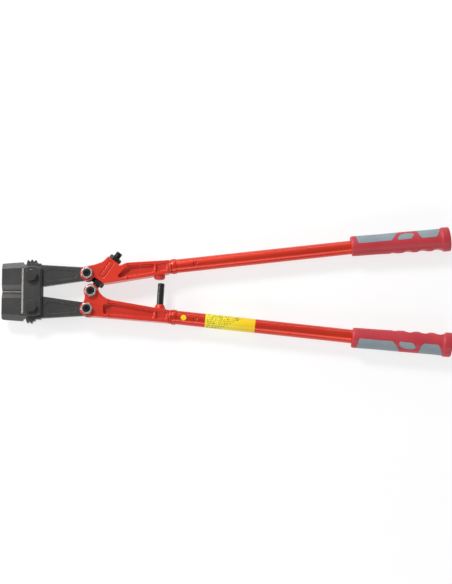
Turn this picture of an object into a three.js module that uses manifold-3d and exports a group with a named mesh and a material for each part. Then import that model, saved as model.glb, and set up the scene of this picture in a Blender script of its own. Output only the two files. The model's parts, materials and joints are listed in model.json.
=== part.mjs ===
// Bolt cutters, 760 mm long, with an adjusting screw between the handles.
// Millimetres, +Z up. The tool lies flat: +X runs from the jaws to the grips, and the
// handle pivot stands on the Z axis with the face of its screw head at Z = 0.
import * as THREE from "three";
import { mergeVertices } from "three/addons/utils/BufferGeometryUtils.js";
import Module from "manifold-3d";

const wasm = await Module();
wasm.setup();

// ---- Driving dimensions ----
const fitGap = 0.3; // between pieces that touch
const swingGap = 0.4; // on each side of a piece that turns inside a fork

// Linkage: the handle pivot is at X = 0, Y = 0, and the rest mirrors about Y = 0.
const jawPinX = -6.4;
const jawPinY = 30.3;
const strapPitch = 52.5; // between the two strap bolts
const jawLink = 94.6; // from a jaw's handle pin to its strap bolt
const openPivotClearance = 3.9; // opens out the upper jaw's strap hole

// Jaws
const jawThickness = 16;
const jawTailStep = 1; // the tail is thinner than the cutting block by this on each face
const jawNoseReach = 50.6; // from the strap bolt to the nose
const jawNoseRise = 21.75; // from the strap bolt's height to the top of the nose
const jawRearRise = 24.15;
const jawRearReach = 15; // from the strap bolt to the back of the cutting block
const jawInnerDrop = 18.65; // from the strap bolt's height to the jaw's inner edge
const jawOuterRise = 19.35;
const jawArmReach = 16; // the arm starts this far behind the strap bolt
const edgeGap = 0.38; // between the two cutting edges at rest
const bevelWidth = 11;
const bevelStep = 4.2;
const bevelStepHeight = 3.2;
const outerChamferWidth = 9.6;
const outerChamferDepth = 5;
const toothPitch = 6.8;
const toothTipRadius = 28.2;
const toothRootRadius = 24.8;
const toothInset = 1.5; // the toothed sector is thinner than the block by this
const tailWall = 4.8; // round the handle pin
const tailChamfer = 1.6;
const panelDepth = 1.2;

// Straps
const strapThickness = 5.5;
const strapWidth = 34.6;
const strapCornerReach = 12.75; // beyond the bolts
const strapEndReach = 16.95;
const strapSetback = 0.9; // the strap's middle lies this far behind its bolts
const strapChamfer = 2;
const strapSideChamfer = 3.2; // width of the chamfer along the strap's long edges
const strapNutHeight = 6.7;
const strapBoltHeadHeight = 7.5;

// Screws and nuts
const screwDiameter = 12;
const screwClearance = 0.3; // all round
const nutExtra = 6; // across flats beyond the screw's diameter
const boltHeadExtra = 7;
const pivotHeadHeight = 7.7;
const pivotNutHeight = 6.7;
const screwEndStandOut = 0.5;
const screwEndChamfer = 0.8;
const socketDepth = 4;

// Handle heads
const eyeMargin = 1.5; // a head's eye stands this far beyond the jaw's tail
const forkMargin = 2.1; // room round the jaw's tail inside the fork
const cheekThickness = 5.6;
const armStep = 1.5; // the arm is thinner than the cheeks by this on each face
const webHalfThickness = 5.5;
const bayHalfThickness = 8.5;
const recessRim = 5.4;
const recessCorner = 4;
const recessSlope = 1.2; // the walls slope in over this height above the floor
const armEndSetback = 19.2; // from the tube's reference point to the end of the arm
const bayLength = 18;
const bayRib = 3; // on each side of the bay
const upperRecessX = 46;
const lowerRecessX = 21.5;
const upperStepX = 62; // where the cheeks step down to the arm
const lowerStepX = 30;
const spigotReach = 40;
const spigotClearance = 0.45;

// Adjuster
const adjusterAngle = 54.2; // of the screw from +X
const eyeboltEyeRadius = 10.5;
const eyeboltRoom = 0.7; // round the eyebolt's eye
const adjustingNutMargin = 2.3; // from the eye of the lower head to the adjusting nut
const adjustingNutHeight = 8;
const adjustingNutRoom = 0.8;
const bossLength = 42.1;
const bossFootWall = 2.6;
const bossTopWall = 5.2;
const lockNutHeight = 7.2;
const studStandOut = 9.3; // beyond the lock nut
const engravedFrame = { fromFoot: 7.4, fromTop: 3.7, half: 4.6, line: 1.3, depth: 0.9 };

// Stop peg and lug
const pegOffset = 6.2; // from the front of the bay
const pegFootRise = 7.7; // from the arm's inner edge to the shoulder of the peg
const pegRadius = 5.8;
const pegLean = 3.4; // degrees
const pegSocketDepth = 7;
const pegBossRadius = 6.9;
const pegBossFootRadius = 10.4;
const pegStopGap = 6.2; // between the peg and the lug at rest
const lugDrop = 7.5;
const lugRadius = 9.6;
const lugSetback = 0.8; // from the foot of the peg

// Tubes and what is on them, measured along the tube from its reference point
const tubeRefX = 150.7;
const tubeRefY = 44.55;
const tubeAngle = 6.22; // degrees from +X
const tubeRadius = 11.75;
const tubeWall = 2;
const collarCentre = -10.3;
const collarWidth = 8;
const collarWall = 1.05;
const flangeLength = 9;
const flangeRise = 0.5;
const tubePinStation = 26.3;
const tubePinRadius = 3;
const gripStart = 293.3;
const gripLength = 169;
const gripWall = 5.15;
const gripSwell = 1.9; // the grip widens by this towards its end
const gripFlangeRise = 3.6;
const gripStartDrift = 1.8; // the grip's outside starts this far off the tube's axis
const gripEndDrift = -3.9; // and ends here, closer to the other handle
const gripEndWall = 18;
const grooveDepth = 2.6;
const firstGrooveShare = 0.65; // the first groove is this much as deep as the others
const grooveRadius = 15;
const groovePitch = 25.4;
const grooveToEnd = 99; // from the first groove to the end of the grip
const grooveCount = 4;
const inlayDepth = 1.7;
const inlayStart = 8.5;
const labelStart = 43.3;
const labelLength = 84.7;
const labelThickness = 0.35;
const stickerStation = 6.4;
const stickerRadius = 4.65;

// Facets
const boltFacets = 20;
const tubeFacets = 24;
const arcSteps = 8; // an arc gets twice as many facets as this

// ---- Sizes that follow ----
const rad = THREE.MathUtils.degToRad;
const tubeBearing = rad(tubeAngle);
const screwBearing = rad(adjusterAngle);
const strapHalfPitch = strapPitch / 2;
const strapX = jawPinX - Math.sqrt(jawLink ** 2 - (jawPinY - strapHalfPitch) ** 2);
const jawHalf = jawThickness / 2;
const tailHalf = jawHalf - jawTailStep;
const jawNoseX = strapX - jawNoseReach;
const jawNoseY = strapHalfPitch + jawNoseRise;
const jawRearX = strapX - jawRearReach;
const jawRearY = strapHalfPitch + jawRearRise;
const jawInnerY = strapHalfPitch - jawInnerDrop;
const jawOuterY = strapHalfPitch + jawOuterRise;
const armStartX = strapX + jawArmReach;

const screwRadius = screwDiameter / 2;
const holeRadius = screwRadius + screwClearance;
const nutAcrossFlats = screwDiameter + nutExtra;
const boltHeadAcrossFlats = screwDiameter + boltHeadExtra;
const socketAcrossFlats = screwRadius;
const strapInner = jawHalf + fitGap;
const strapOuter = strapInner + strapThickness;
const strapNutSeat = strapOuter + fitGap;

const tailRadius = holeRadius + tailWall - screwClearance;
const eyeRadius = tailRadius + eyeMargin;
const forkRadius = tailRadius + forkMargin;
const forkHalfGap = tailHalf + swingGap;
const cheekHalf = forkHalfGap + cheekThickness;
const armHalf = cheekHalf - armStep;
const nutSeat = cheekHalf + fitGap;
const midHeight = nutSeat + pivotHeadHeight; // middle plane above the face it rests on

const bossFootHalfWidth = holeRadius + bossFootWall;
const bossTopHalfWidth = holeRadius + bossTopWall;
const adjustingNutStart = eyeRadius + adjustingNutMargin;
const bossStart = adjustingNutStart + adjustingNutHeight + fitGap;
const bossEnd = bossStart + bossLength;
const studEnd = bossEnd + fitGap + lockNutHeight + studStandOut;
const nutRoom = boltHeadAcrossFlats / Math.sqrt(3) + adjustingNutRoom;

const armEndX = tubeRefX - armEndSetback;
const bayEndX = armEndX - bayRib;
const bayStartX = bayEndX - bayLength;
const recessEndX = bayStartX - bayRib;

const tubeBore = tubeRadius - tubeWall;
const spigotRadius = tubeBore - spigotClearance;
const sleeveRadius = tubeRadius + fitGap; // inside of whatever goes round a tube
const gripRadius = sleeveRadius + gripWall;
const gripFlangeRadius = gripRadius + gripFlangeRise;
const firstGroove = gripLength - grooveToEnd;

// ---- Materials ----
const finish = (color, roughness, metalness) =>
  new THREE.MeshStandardMaterial({ color, roughness, metalness });
const blackSteel = finish(0x3d3d3f, 0.55, 0.8);
const redEnamel = finish(0xc4200f, 0.35, 0.1);
const zincPlate = finish(0xc9ccc8, 0.3, 0.9);
const blackOxide = finish(0x232527, 0.45, 0.7);
const gripRed = finish(0xb5253a, 0.6, 0);
const gripGrey = finish(0x8496a0, 0.7, 0);
const labelYellow = finish(0xf0c800, 0.4, 0);

// ---- Solids ----
function solid(geometry) {
  const bare = geometry.clone();
  bare.deleteAttribute("normal");
  bare.deleteAttribute("uv");
  const merged = mergeVertices(bare, 1e-4);
  return new wasm.Manifold(
    new wasm.Mesh({
      numProp: 3,
      vertProperties: new Float32Array(merged.attributes.position.array),
      triVerts: new Uint32Array(merged.index.array),
    }),
  );
}

function geometryOf(made) {
  const mesh = made.getMesh();
  const geometry = new THREE.BufferGeometry();
  geometry.setAttribute("position", new THREE.BufferAttribute(mesh.vertProperties, 3));
  geometry.setIndex(new THREE.BufferAttribute(mesh.triVerts, 1));
  const faceted = geometry.toNonIndexed();
  faceted.computeVertexNormals();
  return faceted;
}

// A flat outline raised from Z = low to Z = high, its edges chamfered inwards.
function slab(shape, low, high, chamfer = 0) {
  const geometry = new THREE.ExtrudeGeometry(shape, {
    depth: high - low - 2 * chamfer,
    bevelEnabled: chamfer > 0,
    bevelThickness: chamfer,
    bevelSize: chamfer,
    bevelOffset: -chamfer,
    bevelSegments: 1,
    curveSegments: arcSteps,
  });
  return solid(geometry.translate(0, 0, low + chamfer));
}

const plate = (shape, half, chamfer = 0) => slab(shape, -half, half, chamfer);

function polygon(points) {
  return new THREE.Shape(points.map(([x, y]) => new THREE.Vector2(x, y)));
}

function disc(x, y, radius) {
  const shape = new THREE.Shape();
  shape.absarc(x, y, radius, 0, 2 * Math.PI, false);
  return shape;
}

// A profile of [radius, height] points turned about the Z axis.
function turned(profile, facets) {
  const points = profile.map(([r, z]) => new THREE.Vector2(r, z));
  return new THREE.LatheGeometry(points, facets).rotateX(Math.PI / 2);
}

// A straight round bar along Z.
const bar = (radius, low, high, facets = boltFacets) =>
  turned([[0, low], [radius, low], [radius, high], [0, high]], facets);

const barAt = (x, y, radius, low, high) => solid(bar(radius, low, high).translate(x, y, 0));

// A pin or a screw hole through the full height of the tool.
const holeAt = (x, y, radius = holeRadius) => barAt(x, y, radius, -midHeight, midHeight);

function hexShape(acrossFlats, turn = 0) {
  const corner = acrossFlats / Math.sqrt(3);
  const points = [];
  for (let i = 0; i < 6; i++) {
    const angle = turn + (i * Math.PI) / 3;
    points.push([corner * Math.cos(angle), corner * Math.sin(angle)]);
  }
  return polygon(points);
}

// A hexagon along Z, its corners turned off at the ends that are chamfered.
function hexBody(acrossFlats, low, high, turn = 0, chamferLow = true) {
  const corner = acrossFlats / Math.sqrt(3);
  const flat = 0.475 * acrossFlats;
  const drop = (corner - flat) * 0.6;
  const foot = chamferLow ? [[flat, low], [corner, low + drop]] : [[corner, low]];
  const profile = [[0, low], ...foot, [corner, high - drop], [flat, high], [0, high]];
  return slab(hexShape(acrossFlats, turn), low, high).intersect(solid(turned(profile, boltFacets)));
}

// A hexagonal nut along Z with its hole.
const nut = (acrossFlats, low, high, turn) =>
  hexBody(acrossFlats, low, high, turn).subtract(solid(bar(holeRadius, low - 1, high + 1)));

// Moves geometry made along Z onto the line from (x, y) in the direction of bearing.
const along = (geometry, x, y, bearing) =>
  solid(geometry.rotateY(Math.PI / 2).rotateZ(bearing).translate(x, y, 0));

const onTube = (geometry) => along(geometry, tubeRefX, tubeRefY, tubeBearing);
const onScrew = (geometry) => along(geometry, 0, 0, screwBearing);

// A point at a distance along a line and a distance to its left.
const alongLine = (x, y, bearing, station, left) => [
  x + station * Math.cos(bearing) - left * Math.sin(bearing),
  y + station * Math.sin(bearing) + left * Math.cos(bearing),
];

const tubePoint = (station, out) => alongLine(tubeRefX, tubeRefY, tubeBearing, station, out);
const screwPoint = (station, left) => alongLine(0, 0, screwBearing, station, left);
const fromPin = (x, y) => [jawPinX + x, jawPinY + y];

// A straight strip along the line from a to b; its section is in [left of the line, Z].
function strip(a, b, section) {
  const overrun = 4;
  const depth = Math.hypot(b[0] - a[0], b[1] - a[1]) + 2 * overrun;
  const geometry = new THREE.ExtrudeGeometry(polygon(section), { depth, bevelEnabled: false });
  const toLine = new THREE.Matrix4().makeBasis(
    new THREE.Vector3(0, 1, 0),
    new THREE.Vector3(0, 0, 1),
    new THREE.Vector3(1, 0, 0),
  );
  geometry.translate(0, 0, -overrun).applyMatrix4(toLine);
  return solid(geometry.rotateZ(Math.atan2(b[1] - a[1], b[0] - a[0])).translate(a[0], a[1], 0));
}

// ---- Jaws ----
// Both jaws are drawn on the +Y side; the lower one is mirrored by its group.
function jawBlockShape() {
  return polygon([
    [jawNoseX, edgeGap / 2],
    [jawRearX - 3, edgeGap / 2],
    [jawRearX + 3, edgeGap / 2 + 5],
    [strapX, jawInnerY - 1],
    [armStartX, jawInnerY],
    [armStartX, jawOuterY + 2],
    [jawRearX + 2.5, jawRearY - 4],
    [jawRearX, jawRearY],
    [jawNoseX + 2, jawNoseY],
    [jawNoseX, jawNoseY - 2],
  ]);
}

function jawArmShape() {
  const shape = new THREE.Shape();
  shape.moveTo(strapX - 6, jawInnerY);
  shape.lineTo(armStartX, jawInnerY + 0.5);
  shape.absarc(jawPinX, jawPinY, tailRadius, -Math.PI / 2, Math.PI / 2, false);
  shape.lineTo(armStartX, jawOuterY);
  shape.lineTo(strapX - 6, jawOuterY + 1);
  return shape;
}

// The toothed sector round the strap bolt.
function toothedSector(teeth) {
  const step = toothPitch / toothTipRadius;
  const first = Math.PI / 2 + 0.235;
  const last = first - (teeth - 1) * step;
  const polar = (radius, angle) => [
    strapX + radius * Math.cos(angle),
    strapHalfPitch + radius * Math.sin(angle),
  ];
  const points = [polar(toothRootRadius, first + step / 2)];
  for (let i = 0; i < teeth; i++) {
    const angle = first - i * step;
    points.push(polar(toothTipRadius, angle + step / 8));
    points.push(polar(toothTipRadius, angle - step / 8));
    points.push(polar(toothRootRadius, angle - step / 2));
  }
  points.push(polar(toothRootRadius, last - 1.1 * step));
  points.push([strapX + screwDiameter, strapHalfPitch]);
  points.push([strapX - screwDiameter, strapHalfPitch]);
  return polygon(points.reverse());
}

// The sunk panel on each face of the arm.
function jawPanelShape() {
  const left = strapX + 22;
  const turn = left + 9;
  const right = jawPinX - tailRadius - 8.2;
  const shape = new THREE.Shape();
  shape.moveTo(turn, strapHalfPitch - 8.65);
  shape.lineTo(right, jawPinY - 7);
  shape.lineTo(right, jawPinY + 4.6);
  shape.lineTo(turn, strapHalfPitch + 11.95);
  shape.quadraticCurveTo(left - 1, strapHalfPitch + 9.75, left, strapHalfPitch + 1.55);
  shape.quadraticCurveTo(left - 1, strapHalfPitch - 6.75, turn, strapHalfPitch - 8.65);
  return shape;
}

function jaw(teeth, strapHoleRadius) {
  const beyond = jawHalf + 1;
  let made = plate(jawBlockShape(), jawHalf);
  for (const side of [1, -1]) {
    const outerChamfer = strip([jawRearX + 4, jawRearY + 0.3], [jawNoseX, jawNoseY], [
      [-1, side * beyond],
      [-1, side * (jawHalf - outerChamferDepth)],
      [0, side * (jawHalf - outerChamferDepth)],
      [outerChamferWidth, side * jawHalf],
      [outerChamferWidth, side * beyond],
    ]);
    const cuttingBevel = strip([jawNoseX, 0], [jawRearX - 3, 0], [
      [-1, 0],
      [edgeGap / 2, 0],
      [bevelStep, side * bevelStepHeight],
      [bevelWidth, side * jawHalf],
      [bevelWidth, side * beyond],
      [-1, side * beyond],
    ]);
    made = made.subtract(outerChamfer).subtract(cuttingBevel);
  }
  made = made.add(plate(toothedSector(teeth), jawHalf - toothInset));
  made = made.add(plate(jawArmShape(), tailHalf, tailChamfer));
  made = made.subtract(slab(jawPanelShape(), tailHalf - panelDepth, beyond));
  made = made.subtract(slab(jawPanelShape(), -beyond, panelDepth - tailHalf));
  return made
    .subtract(holeAt(jawPinX, jawPinY))
    .subtract(holeAt(strapX, strapHalfPitch, strapHoleRadius));
}

// ---- Straps and their bolts ----
function strapShape() {
  const half = strapWidth / 2;
  const centre = strapX + strapSetback;
  const rise = strapEndReach - strapCornerReach;
  const radius = (half * half + rise * rise) / (2 * rise);
  const spread = Math.asin(half / radius);
  const arcY = strapHalfPitch + strapEndReach - radius;
  const shape = new THREE.Shape();
  shape.absarc(centre, arcY, radius, Math.PI / 2 - spread, Math.PI / 2 + spread, false);
  shape.absarc(centre, -arcY, radius, 1.5 * Math.PI - spread, 1.5 * Math.PI + spread, false);
  return shape;
}

// The strap's outer edges are chamfered, on the face away from the jaws.
function strap(side) {
  const low = side > 0 ? strapInner : -strapOuter;
  const high = low + strapThickness;
  const edge = slab(strapShape(), low - strapChamfer, high + strapChamfer, strapChamfer);
  let made = slab(strapShape(), low, high).intersect(edge.translate([0, 0, -side * strapChamfer]));
  const section = [
    [1, side * (strapOuter - strapChamfer)],
    [0, side * (strapOuter - strapChamfer)],
    [-strapSideChamfer, side * strapOuter],
    [-strapSideChamfer, side * (strapOuter + 1)],
    [1, side * (strapOuter + 1)],
  ];
  const reach = strapHalfPitch + strapEndReach;
  for (const out of [1, -1]) {
    const edgeX = strapX + strapSetback + (out * strapWidth) / 2;
    made = made.subtract(strip([edgeX, out * reach], [edgeX, -out * reach], section));
  }
  return made
    .subtract(holeAt(strapX, strapHalfPitch))
    .subtract(holeAt(strapX, -strapHalfPitch));
}

function strapBolt(turn) {
  const headTop = strapNutSeat + strapBoltHeadHeight;
  const head = hexBody(boltHeadAcrossFlats, strapNutSeat, headTop, turn, false);
  const shankEnd = -strapNutSeat - strapNutHeight + screwEndStandOut;
  return head.add(solid(bar(screwRadius, shankEnd, strapNutSeat + 1)));
}

const strapNut = (turn) =>
  nut(boltHeadAcrossFlats, -strapNutSeat - strapNutHeight, -strapNutSeat, turn);

// ---- Pivot screws and nuts ----
function pivotScrew(turn) {
  const head = hexBody(nutAcrossFlats, -midHeight, -nutSeat, turn);
  const end = nutSeat + pivotNutHeight + screwEndStandOut;
  const profile = [
    [0, -nutSeat - 1],
    [screwRadius, -nutSeat - 1],
    [screwRadius, end - screwEndChamfer],
    [screwRadius - screwEndChamfer, end],
    [0, end],
  ];
  const socket = slab(hexShape(socketAcrossFlats, turn), end - socketDepth, end + 1);
  return head.add(solid(turned(profile, boltFacets))).subtract(socket);
}

const pivotNut = (turn) => nut(nutAcrossFlats, nutSeat, nutSeat + pivotNutHeight, turn);

// ---- Handle heads ----
// The long edges of the arms run straight from near the pivots to the tubes. They are drawn
// on the +Y side, and each is set at its start and by its distance from the tube's axis.
function armEdge(startX, startY, endOffset) {
  const endY = tubeRefY - armEndSetback * Math.tan(tubeBearing) + endOffset;
  const slope = (endY - startY) / (armEndX - startX);
  return (x) => startY + slope * (x - startX);
}

const upperTop = armEdge(61.3, jawPinY + 18.5, 10.6);
const upperBottom = armEdge(28.2, jawPinY - 16.4, -12.1);
const lowerInner = armEdge(48.9, jawPinY - 12.7, -10.4);
const lowerOuter = armEdge(8.3, jawPinY + 12.9, 11.1);

const pegX = bayStartX + pegOffset;
const pegFootY = lowerInner(pegX) - pegFootRise;
const lugY = upperBottom(pegX) - lugDrop;
const pegLength = pegFootY + lugY - pegStopGap;

// The turned end of a head: a flange in front of the tube and a spigot inside it.
function tubeSocketEnd() {
  const flangeEnd = collarCentre - collarWidth / 2 - fitGap;
  const flangeStart = flangeEnd - flangeLength;
  const profile = [
    [0, flangeStart - 4],
    [spigotRadius, flangeStart - 4],
    [tubeRadius - 0.65, flangeStart + 1],
    [tubeRadius + 0.15, flangeEnd - 4],
    [tubeRadius + flangeRise, flangeEnd - 1.5],
    [tubeRadius + flangeRise, flangeEnd],
    [spigotRadius, flangeEnd],
    [spigotRadius, spigotReach],
    [0, spigotReach],
  ];
  return onTube(turned(profile, tubeFacets));
}

const tubePinHole = () => holeAt(...tubePoint(tubePinStation, 0), tubePinRadius + fitGap);

function upperHeadShape() {
  const shape = new THREE.Shape();
  shape.absarc(jawPinX, jawPinY, eyeRadius, rad(90), rad(300), false);
  shape.lineTo(...screwPoint(bossStart, bossFootHalfWidth));
  shape.lineTo(...screwPoint(bossStart, -bossFootHalfWidth));
  shape.quadraticCurveTo(...fromPin(30.4, -17.1), 29, upperBottom(29));
  shape.lineTo(armEndX, upperBottom(armEndX));
  shape.lineTo(armEndX, upperTop(armEndX));
  shape.lineTo(66, upperTop(66));
  shape.quadraticCurveTo(...fromPin(63.4, 17.9), ...fromPin(58.2, 14.3));
  shape.lineTo(...screwPoint(bossEnd - 3, -bossTopHalfWidth));
  shape.lineTo(...screwPoint(bossEnd, -bossTopHalfWidth));
  shape.lineTo(...screwPoint(bossEnd, bossTopHalfWidth));
  shape.quadraticCurveTo(...fromPin(29.4, 22.2), ...fromPin(23.4, 18.7));
  shape.lineTo(...fromPin(eyeRadius, 15));
  return shape;
}

function upperRecessShape() {
  const low = (x) => upperBottom(x) + recessRim;
  const high = (x) => upperTop(x) - recessRim;
  const start = upperRecessX;
  const shape = new THREE.Shape();
  const corner = recessEndX - recessCorner;
  const tip = low(start) + recessCorner;
  shape.moveTo(start, tip);
  shape.quadraticCurveTo(start, low(start + 2), start + 6, low(start + 6));
  shape.lineTo(corner, low(corner));
  shape.quadraticCurveTo(recessEndX, low(recessEndX), recessEndX, low(recessEndX) + recessCorner);
  shape.lineTo(recessEndX, high(recessEndX) - recessCorner);
  shape.quadraticCurveTo(recessEndX, high(recessEndX), corner, high(corner));
  shape.lineTo(start + 24, high(start + 24));
  shape.quadraticCurveTo(start + 13, high(start + 13), start, tip);
  return shape;
}

function lowerRecessShape() {
  const inner = (x) => lowerInner(x) + recessRim;
  const outer = (x) => lowerOuter(x) - recessRim;
  const start = lowerRecessX;
  const shoulder = start + 2.5;
  const corner = recessEndX - recessCorner;
  const shape = new THREE.Shape();
  shape.moveTo(shoulder, inner(shoulder) + 4);
  shape.quadraticCurveTo(start + 5.5, inner(start + 6.5) + 1.5, start + 14.5, inner(start + 14.5));
  shape.lineTo(corner, inner(corner));
  shape.quadraticCurveTo(recessEndX, inner(recessEndX), recessEndX, inner(recessEndX) + recessCorner);
  shape.lineTo(recessEndX, outer(recessEndX) - recessCorner);
  shape.quadraticCurveTo(recessEndX, outer(recessEndX), corner, outer(corner));
  shape.lineTo(start + 3.5, outer(start + 3.5));
  shape.quadraticCurveTo(start, outer(start), start, outer(start) - 4);
  shape.lineTo(start, inner(shoulder) + 7);
  shape.quadraticCurveTo(start, inner(shoulder) + 4.5, shoulder, inner(shoulder) + 4);
  return shape;
}

const bayShape = (inner, outer) =>
  polygon([
    [bayStartX, inner(bayStartX) + recessRim],
    [bayEndX, inner(bayEndX) + recessRim],
    [bayEndX, outer(bayEndX) - recessRim],
    [bayStartX, outer(bayStartX) - recessRim],
  ]);

// Sinks an outline into both faces of a head, down to a distance from its middle plane.
// The foot of its walls slopes in towards the floor.
function sink(made, shape, floor, slope = 0) {
  const far = cheekHalf + 1 + slope;
  const front = slab(shape, floor, far, slope);
  return made.subtract(front).subtract(slab(shape, -far, -floor, slope));
}

// Thins a head from its cheeks to its arm, from startX on.
function thinArm(made, startX) {
  const reach = armEndX + 10;
  const beyond = [[startX, -reach], [reach, -reach], [reach, reach], [startX, reach]];
  return sink(made, polygon(beyond), armHalf);
}

// The slot that the jaw's tail turns in, with the hole for its screw.
function jawFork(made) {
  const room = new THREE.Shape();
  room.absarc(jawPinX, jawPinY, forkRadius, rad(-90), rad(45), false);
  room.lineTo(...fromPin(-30, 48));
  room.lineTo(...fromPin(-40, -forkRadius));
  return made.subtract(plate(room, forkHalfGap)).subtract(holeAt(jawPinX, jawPinY));
}

// The round lug under the upper arm, which the peg stops against.
function lug() {
  const height = lugDrop + 2;
  const profile = [
    [0, 0],
    [lugRadius - 3.4, 0],
    [lugRadius - 1, 1.2],
    [lugRadius, 3.2],
    [lugRadius, height - 3.5],
    [lugRadius - 0.8, height],
    [0, height],
  ];
  const geometry = turned(profile, boltFacets).rotateX(-Math.PI / 2);
  return solid(geometry.translate(pegX - lugSetback, lugY, 0));
}

const screwRectangle = (start, end, half) =>
  polygon([
    screwPoint(start, -half),
    screwPoint(end, -half),
    screwPoint(end, half),
    screwPoint(start, half),
  ]);

// The thin frame sunk into the front face of the boss.
function engraving() {
  const { fromFoot, fromTop, half, line, depth } = engravedFrame;
  const start = bossStart + fromFoot;
  const end = bossEnd - fromTop;
  const outline = slab(screwRectangle(start, end, half), cheekHalf - depth, cheekHalf + 1);
  return outline.subtract(plate(screwRectangle(start + line, end - line, half - line), midHeight));
}

function upperHead() {
  let made = thinArm(plate(upperHeadShape(), cheekHalf), upperStepX);
  made = made.add(tubeSocketEnd()).add(lug());
  made = sink(made, upperRecessShape(), webHalfThickness, recessSlope);
  made = sink(made, bayShape(upperBottom, upperTop), bayHalfThickness, recessSlope);
  made = jawFork(made);
  made = made.subtract(onScrew(bar(holeRadius, bossStart - 2, bossEnd + 2)));
  made = made.subtract(onScrew(bar(nutRoom, 0, bossStart, tubeFacets)));
  return made.subtract(engraving()).subtract(tubePinHole());
}

// The lower head is drawn on the +Y side like the upper one; it also holds the handle pivot.
function lowerHeadShape() {
  const shape = new THREE.Shape();
  const waist = [eyeRadius * Math.cos(rad(150)), eyeRadius * Math.sin(rad(150))];
  shape.absarc(jawPinX, jawPinY, eyeRadius, rad(90), rad(215), false);
  shape.quadraticCurveTo(...fromPin(-2.2, -14.8), ...waist);
  shape.absarc(0, 0, eyeRadius, rad(150), rad(345), false);
  shape.quadraticCurveTo(...fromPin(25.4, -17.3), 38.7, lowerInner(38.7));
  shape.lineTo(armEndX, lowerInner(armEndX));
  shape.lineTo(armEndX, lowerOuter(armEndX));
  shape.lineTo(8.3, lowerOuter(8.3));
  return shape;
}

// The slot in which the eyebolt swings with the upper handle.
function eyeboltFork(made) {
  const half = screwRadius + 2 * swingGap;
  const first = -rad(adjusterAngle - 2.5);
  const last = -rad(adjusterAngle + 84);
  const reach = 30;
  const room = [
    alongLine(0, 0, last, 0, -half),
    alongLine(0, 0, last, reach, -half),
    [0, -reach - 20],
    alongLine(0, 0, first, reach, half),
    alongLine(0, 0, first, 0, half),
  ];
  return made
    .subtract(plate(disc(0, 0, eyeboltEyeRadius + eyeboltRoom), forkHalfGap))
    .subtract(plate(polygon(room), screwRadius + swingGap))
    .subtract(holeAt(0, 0));
}

// The peg stands on the lower arm and leans towards the grips.
const onPeg = (profile) =>
  solid(turned(profile, boltFacets).rotateX(Math.PI / 2).rotateZ(rad(pegLean)).translate(pegX, pegFootY, 0));

function lowerHead() {
  let made = thinArm(plate(lowerHeadShape(), cheekHalf), lowerStepX);
  made = made.add(tubeSocketEnd());
  made = sink(made, lowerRecessShape(), webHalfThickness, recessSlope);
  made = sink(made, bayShape(lowerInner, lowerOuter), bayHalfThickness, recessSlope);
  made = made.add(
    onPeg([
      [0, -pegFootRise - 2],
      [pegBossFootRadius, -pegFootRise - 2],
      [pegBossFootRadius, -pegFootRise],
      [pegBossRadius, 0],
      [0, 0],
    ]),
  );
  made = eyeboltFork(jawFork(made));
  const socketRadius = pegRadius + fitGap;
  const socketEnd = -pegSocketDepth - fitGap;
  const socket = [[0, socketEnd], [socketRadius, socketEnd], [socketRadius, 1], [0, 1]];
  return made.subtract(onPeg(socket)).subtract(tubePinHole());
}

const stopPeg = () =>
  onPeg([
    [0, -pegSocketDepth],
    [pegRadius, -pegSocketDepth],
    [pegRadius, pegLength - screwEndChamfer],
    [pegRadius - screwEndChamfer, pegLength],
    [0, pegLength],
  ]);

// ---- Adjuster ----
function eyebolt() {
  const eye = plate(disc(0, 0, eyeboltEyeRadius), tailHalf, screwEndChamfer);
  const stud = [
    [0, eyeboltEyeRadius - 3],
    [screwRadius, eyeboltEyeRadius - 3],
    [screwRadius, studEnd - screwEndChamfer],
    [screwRadius - screwEndChamfer, studEnd],
    [0, studEnd],
  ];
  return eye.add(onScrew(turned(stud, boltFacets))).subtract(holeAt(0, 0));
}

const screwNut = (start, height, turn) =>
  onScrew(geometryOf(nut(boltHeadAcrossFlats, start, start + height, turn)));

// ---- Tubes, collars and pins ----
// A ring round the tube's axis, its profile closed on itself.
const ringOnTube = (profile) => onTube(turned([...profile, profile[0]], tubeFacets));

function tube() {
  const start = collarCentre - collarWidth / 2;
  const end = gripStart + gripLength - gripEndWall;
  const wall = [[tubeBore, start], [tubeRadius, start], [tubeRadius, end], [tubeBore, end]];
  return ringOnTube(wall).subtract(tubePinHole());
}

function collar() {
  const low = collarCentre - collarWidth / 2;
  const high = low + collarWidth;
  const outer = sleeveRadius + collarWall;
  return ringOnTube([
    [sleeveRadius, low],
    [outer - 0.5, low],
    [outer, low + 1.5],
    [outer, high - 1.5],
    [outer - 0.5, high],
    [sleeveRadius, high],
  ]);
}

const tubePin = () =>
  barAt(...tubePoint(tubePinStation, 0), tubePinRadius, fitGap - tubeRadius, tubeRadius - fitGap);

// ---- Grips ----
// The outside of a grip drifts off the tube's axis, so its rubber is thicker on the finger side.
const driftSlope = (gripEndDrift - gripStartDrift) / gripLength;
const gripDrift = (station) => gripStartDrift + driftSlope * station;
const gripPoint = (station, out) => tubePoint(gripStart + station, out + gripDrift(station));
const gripSwellAt = (share) => gripRadius + share * gripSwell;

// Radius along the grip, with the whole profile shrunk by inset.
function gripProfile(inset) {
  const rows = [
    [gripRadius - 2.2, 0],
    [gripRadius - 0.5, 1.2],
    [gripRadius, 4],
    [gripRadius, gripLength - 124],
    [gripSwellAt(0.47), gripLength - 84],
    [gripSwellAt(0.68), gripLength - 34],
    [gripSwellAt(1), gripLength - 16],
    [gripFlangeRadius, gripLength - 12],
    [gripFlangeRadius, gripLength - 3],
    [gripFlangeRadius - 2.6, gripLength],
  ];
  const last = gripLength - inset;
  const shrunk = rows.map(([r, s]) => [r - inset, Math.min(Math.max(s, inset), last)]);
  return [[0, inset], ...shrunk, [0, last]];
}

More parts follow.
